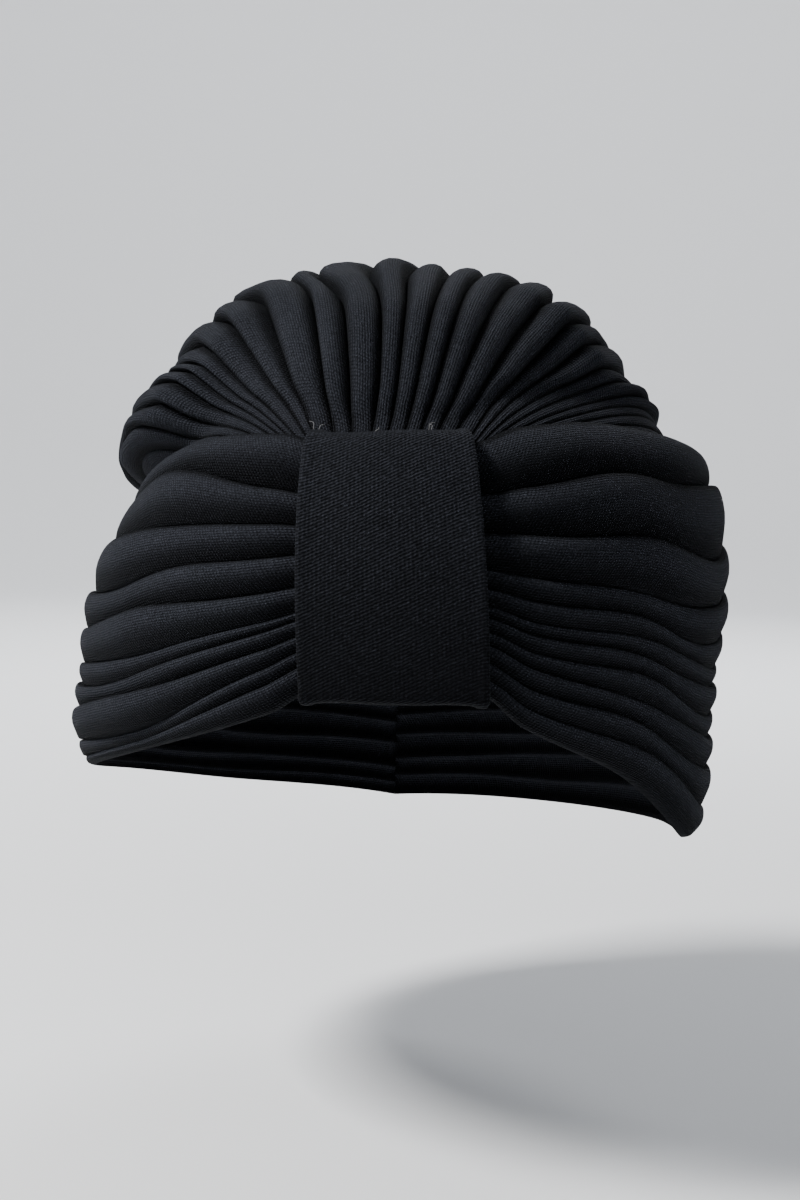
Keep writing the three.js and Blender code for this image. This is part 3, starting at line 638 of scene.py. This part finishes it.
def make_thread_ends(tab):
    """Short ends of sewing thread that stick up behind the tab's top edge."""
    corners = np.array([vertex.co for vertex in tab.data.vertices]) / MM
    high = corners[corners[:, 2] > corners[:, 2].max() - 8]
    points, faces = [], []
    for thread in THREAD_ENDS:
        near = high[np.abs(high[:, 0] - thread["x"]) < 1.0]
        root = near[np.argmax(near[:, 2])] - [0, 0, 0.3]
        t = np.linspace(0, 1, 9)
        middle = root + np.stack([thread["lean"] * t * 2 + thread["curl"] * np.sin(3 * t) * t,
                                  0.6 * t**2, thread["length"] * np.sin(1.5 * t)], -1)
        heading = unit(np.gradient(middle, axis=0))
        side = unit(np.cross(heading, [0.0, 1.0, 0.0]))
        other = np.cross(heading, side)
        first = len(points)
        for k, place in enumerate(middle):
            radius = THREAD_RADIUS * (1 - 0.5 * t[k])
            for turn in np.radians([0, 60, 120, 180, 240, 300]):
                points.append(place + radius * (np.cos(turn) * side[k] + np.sin(turn) * other[k]))
        for k in range(len(t) - 1):
            for c in range(6):
                a, b = first + 6 * k + c, first + 6 * k + (c + 1) % 6
                faces.append([a, b, b + 6, a + 6])
        faces += [list(range(first + 5, first - 1, -1)), list(range(len(points) - 6, len(points)))]
    return add_mesh("thread_ends", np.array(points), faces, {"Cloth": np.zeros((len(points), 2))})


# ---------------------------------------------------------------- materials

# Distances in metres.
WALE, STITCH, KNIT_SLANT = 0.0014, 0.0010, 0.55
RIB, RIB_SLOPE, WEFT = 0.00078, 24, 0.0010
DARKEST = (0.0008, 0.0009, 0.0011)


def new_material(name, colour, roughness):
    material = bpy.data.materials.new(name)
    material.use_nodes = True
    shader = material.node_tree.nodes["Principled BSDF"]
    shader.inputs["Base Color"].default_value = (*colour, 1)
    shader.inputs["Roughness"].default_value = roughness
    return material, shader


def math_node(tree, operation, a, b=None):
    """A Math node whose inputs are links or numbers; returns its output."""
    node = tree.nodes.new("ShaderNodeMath")
    node.operation = operation
    for socket, value in zip(node.inputs, (a, b)):
        if value is None:
            continue
        if isinstance(value, (int, float)):
            socket.default_value = value
        else:
            tree.links.new(value, socket)
    return node.outputs[0]


def painted_crease_shade(tree):
    """Painted shade: the colour is darkened deep in the creases and kept full on the pleats' faces."""
    uv = tree.nodes.new("ShaderNodeUVMap")
    uv.uv_map = "Pleat"
    split = tree.nodes.new("ShaderNodeSeparateXYZ")
    tree.links.new(uv.outputs["UV"], split.inputs[0])
    open_to_light = math_node(tree, "POWER", split.outputs["X"], 1.9)
    return math_node(tree, "ADD", math_node(tree, "MULTIPLY", open_to_light, 0.97), 0.03)


def wave(tree, value, period):
    """sin(2 pi value / period)."""
    return math_node(tree, "SINE", math_node(tree, "MULTIPLY", value, 2 * np.pi / period))


def noise(tree, vector, scale, detail=3.0):
    node = tree.nodes.new("ShaderNodeTexNoise")
    node.inputs["Scale"].default_value = scale
    node.inputs["Detail"].default_value = detail
    tree.links.new(vector, node.inputs["Vector"])
    return node.outputs["Fac"]


def cloth_coordinates(tree):
    """Along and across the cloth in metres, and the object coordinates."""
    uv = tree.nodes.new("ShaderNodeUVMap")
    uv.uv_map = "Cloth"
    split = tree.nodes.new("ShaderNodeSeparateXYZ")
    tree.links.new(uv.outputs["UV"], split.inputs[0])
    place = tree.nodes.new("ShaderNodeTexCoord")
    return split.outputs["X"], split.outputs["Y"], place.outputs["Object"]


def tinted(tree, shader, factor, dark, light):
    """Base colour between two shades by a factor."""
    mix = tree.nodes.new("ShaderNodeMix")
    mix.data_type = "RGBA"
    tree.links.new(factor, mix.inputs["Factor"])
    mix.inputs["A"].default_value = (*dark, 1)
    mix.inputs["B"].default_value = (*light, 1)
    tree.links.new(mix.outputs["Result"], shader.inputs["Base Color"])


def bumped(tree, shader, height, distance, strength=1.0):
    bump = tree.nodes.new("ShaderNodeBump")
    bump.inputs["Distance"].default_value = distance
    bump.inputs["Strength"].default_value = strength
    tree.links.new(height, bump.inputs["Height"])
    tree.links.new(bump.outputs["Normal"], shader.inputs["Normal"])


def jersey_material():
    """Black knitted jersey: fine wales along the pleats, stitch by stitch, with a soft nap."""
    material, shader = new_material("black_jersey", (0.02, 0.021, 0.025), 0.9)
    tree = material.node_tree
    along, across, place = cloth_coordinates(tree)
    uneven = math_node(tree, "MULTIPLY", noise(tree, place, 420, 2.0), 0.0005)
    wale = math_node(tree, "ABSOLUTE", wave(tree, math_node(tree, "ADD", across, uneven), WALE))
    slant = math_node(tree, "MULTIPLY", math_node(tree, "ADD", across, uneven), KNIT_SLANT)
    stitch = wave(tree, math_node(tree, "ADD", along, slant), STITCH)
    knit = math_node(tree, "MULTIPLY", wale, math_node(tree, "ADD",
                     math_node(tree, "MULTIPLY", stitch, 0.35), 0.65))
    fuzz = noise(tree, place, 1500, 2.0)
    height = math_node(tree, "ADD", knit, math_node(tree, "MULTIPLY", fuzz, 1.2))
    bumped(tree, shader, height, 0.00045)
    patches = noise(tree, place, 40, 4.0)
    grain = math_node(tree, "MULTIPLY", math_node(tree, "ADD", knit, 0.35),
                      math_node(tree, "POWER", fuzz, 1.6))
    tone = math_node(tree, "ADD", math_node(tree, "MULTIPLY", patches, 0.35),
                     math_node(tree, "MULTIPLY", grain, 1.6))
    # Painted shade: the crease mask darkens the colour deep in the creases.
    tone = math_node(tree, "MULTIPLY", tone, painted_crease_shade(tree))
    tinted(tree, shader, tone, DARKEST, (0.0245, 0.0266, 0.0336))
    shader.inputs["Sheen Weight"].default_value = 0.025
    shader.inputs["Sheen Roughness"].default_value = 0.5
    shader.inputs["Sheen Tint"].default_value = (0.75, 0.8, 0.95, 1)
    shader.inputs["Specular IOR Level"].default_value = 0.03
    return material


def twill_material():
    """Black cotton twill: slanting ribs that rise to the right, crossed by the weft."""
    material, shader = new_material("black_twill", (0.026, 0.028, 0.034), 0.85)
    tree = material.node_tree
    across, along, place = cloth_coordinates(tree)
    slope = np.radians(RIB_SLOPE)
    rib_place = math_node(tree, "SUBTRACT", math_node(tree, "MULTIPLY", along, float(np.cos(slope))),
                          math_node(tree, "MULTIPLY", across, float(np.sin(slope))))
    uneven = math_node(tree, "MULTIPLY", noise(tree, place, 500, 2.0), 0.0004)
    rib = wave(tree, math_node(tree, "ADD", rib_place, uneven), RIB)
    yarn = wave(tree, across, WEFT)
    weave = math_node(tree, "ADD", math_node(tree, "MULTIPLY", rib, 0.34),
                      math_node(tree, "ADD", math_node(tree, "MULTIPLY", yarn, 0.16), 0.5))
    fuzz = noise(tree, place, 1600, 2.0)
    bumped(tree, shader, math_node(tree, "ADD", weave, math_node(tree, "MULTIPLY", fuzz, 0.9)), 0.0003)
    streaks = noise(tree, place, 90, 3.0)
    grain = math_node(tree, "MULTIPLY", weave, math_node(tree, "POWER", fuzz, 2.2))
    tone = math_node(tree, "ADD", math_node(tree, "MULTIPLY", grain, 2.6),
                     math_node(tree, "MULTIPLY", streaks, 0.12))
    split = tree.nodes.new("ShaderNodeSeparateXYZ")
    tree.links.new(place, split.inputs[0])
    # Painted shade, from 0 at the tab's bottom to about 1 at its top: it is darker low down, where the light
    # falls off.
    level = math_node(tree, "MULTIPLY", math_node(tree, "ADD", split.outputs["Z"], 0.099), 15.0)
    painted_height_shade = math_node(tree, "ADD", math_node(tree, "MULTIPLY", level, 1.15), 0.28)
    tone = math_node(tree, "MULTIPLY", tone, painted_height_shade)
    tinted(tree, shader, tone, DARKEST, (0.0185, 0.0198, 0.0252))
    shader.inputs["Sheen Weight"].default_value = 0.02
    shader.inputs["Sheen Roughness"].default_value = 0.5
    shader.inputs["Sheen Tint"].default_value = (0.8, 0.85, 0.95, 1)
    shader.inputs["Specular IOR Level"].default_value = 0.03
    return material


def thread_material():
    """Undyed cotton sewing thread."""
    material, shader = new_material("pale_thread", (0.3, 0.3, 0.3), 0.8)
    tree = material.node_tree
    _, _, place = cloth_coordinates(tree)
    tinted(tree, shader, noise(tree, place, 900, 2.0), (0.06, 0.06, 0.062), (0.20, 0.20, 0.205))
    return material


# ---------------------------------------------------------------- the scene round it

def make_stage():
    """A pale floor that curves up into a pale wall all round, well outside every view."""
    profile = [(0.0, 0.0), (2.2, 0.0)]
    profile += [(2.2 + 1.2 * np.sin(a), 1.2 - 1.2 * np.cos(a)) for a in np.linspace(0.15, np.pi / 2, 10)]
    profile += [(3.4, 4.0)]
    floor_level = cad_box[0][2] - 0.075
    turns = 72
    points = [(r * np.cos(t), r * np.sin(t), floor_level + h)
              for r, h in profile[1:] for t in np.linspace(0, 2 * np.pi, turns, endpoint=False)]
    faces = [list(range(turns))]
    for ring in range(len(profile) - 2):
        for k in range(turns):
            n = (k + 1) % turns
            faces.append([ring * turns + k, (ring + 1) * turns + k, (ring + 1) * turns + n, ring * turns + n])
    mesh = bpy.data.meshes.new("floor")
    mesh.from_pydata(points, [], faces)
    for polygon in mesh.polygons:
        polygon.use_smooth = True
    floor = bpy.data.objects.new("floor", mesh)
    bpy.context.collection.objects.link(floor)
    material, _ = new_material("pale_floor", (0.82, 0.83, 0.85), 0.9)
    mesh.materials.append(material)


def add_light(name, place, aim, size, watts, colour):
    light = bpy.data.lights.new(name, "AREA")
    light.size = size
    light.energy = watts
    light.color = colour
    lamp = bpy.data.objects.new(name, light)
    lamp.location = place
    lamp.rotation_euler = (Vector(aim) - Vector(place)).to_track_quat("-Z", "Y").to_euler()
    bpy.context.collection.objects.link(lamp)


def make_lights():
    """Soft studio light, mostly from high on the left."""
    aim = (0, 0, -0.07)
    add_light("key", (-1.06, -0.50, 1.18), aim, 0.4, 62, (1.0, 0.99, 0.97))
    add_light("back", (0.5, 1.3, 1.2), aim, 0.9, 16, (0.96, 0.98, 1.0))
    add_light("backdrop", (0.0, 0.9, 1.3), (0, 3.4, 0.2), 1.2, 40, (0.98, 0.99, 1.0))
    world = bpy.data.worlds.new("studio")
    world.use_nodes = True
    world.node_tree.nodes["Background"].inputs["Color"].default_value = (0.80, 0.82, 0.85, 1)
    world.node_tree.nodes["Background"].inputs["Strength"].default_value = 0.105
    bpy.context.scene.world = world


def make_camera():
    """The viewing angle: level with the tab, a little from above, leaning slightly."""
    distance, elevation, roll = 0.395, np.radians(4.0), np.radians(1.5)
    target = Vector((0.0, -0.106, -0.073))
    forward = Vector((0, np.cos(elevation), -np.sin(elevation)))
    right = Vector((1, 0, 0))
    up = right.cross(forward)
    side = right * np.cos(roll) + up * np.sin(roll)
    top = up * np.cos(roll) - right * np.sin(roll)
    lens = bpy.data.cameras.new("camera")
    lens.lens = 50
    lens.sensor_width = 36
    camera = bpy.data.objects.new("camera", lens)
    rotation = Matrix((side, top, -forward)).transposed()
    camera.matrix_world = Matrix.Translation(target - forward * distance) @ rotation.to_4x4()
    bpy.context.collection.objects.link(camera)
    bpy.context.scene.camera = camera


def dress(piece, material, slot, *nodes):
    """Gives a piece its material and its place in the frame."""
    piece.data.materials.append(material)
    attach(piece, "root")
    if nodes:
        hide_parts(*nodes)


make_camera()
jersey = jersey_material()
crown = make_crown()
dress(crown, jersey, "jersey", "crown")
wraps = {}
for side in ("left", "right"):
    wraps[side] = make_wrap(side)
    dress(wraps[side], jersey, "jersey", f"wrap_{side}")
tab = make_tab()
dress(tab, twill_material(), "twill", "center_tab")
threads = make_thread_ends(tab)
dress(threads, thread_material(), "twill")
make_stage()
make_lights()
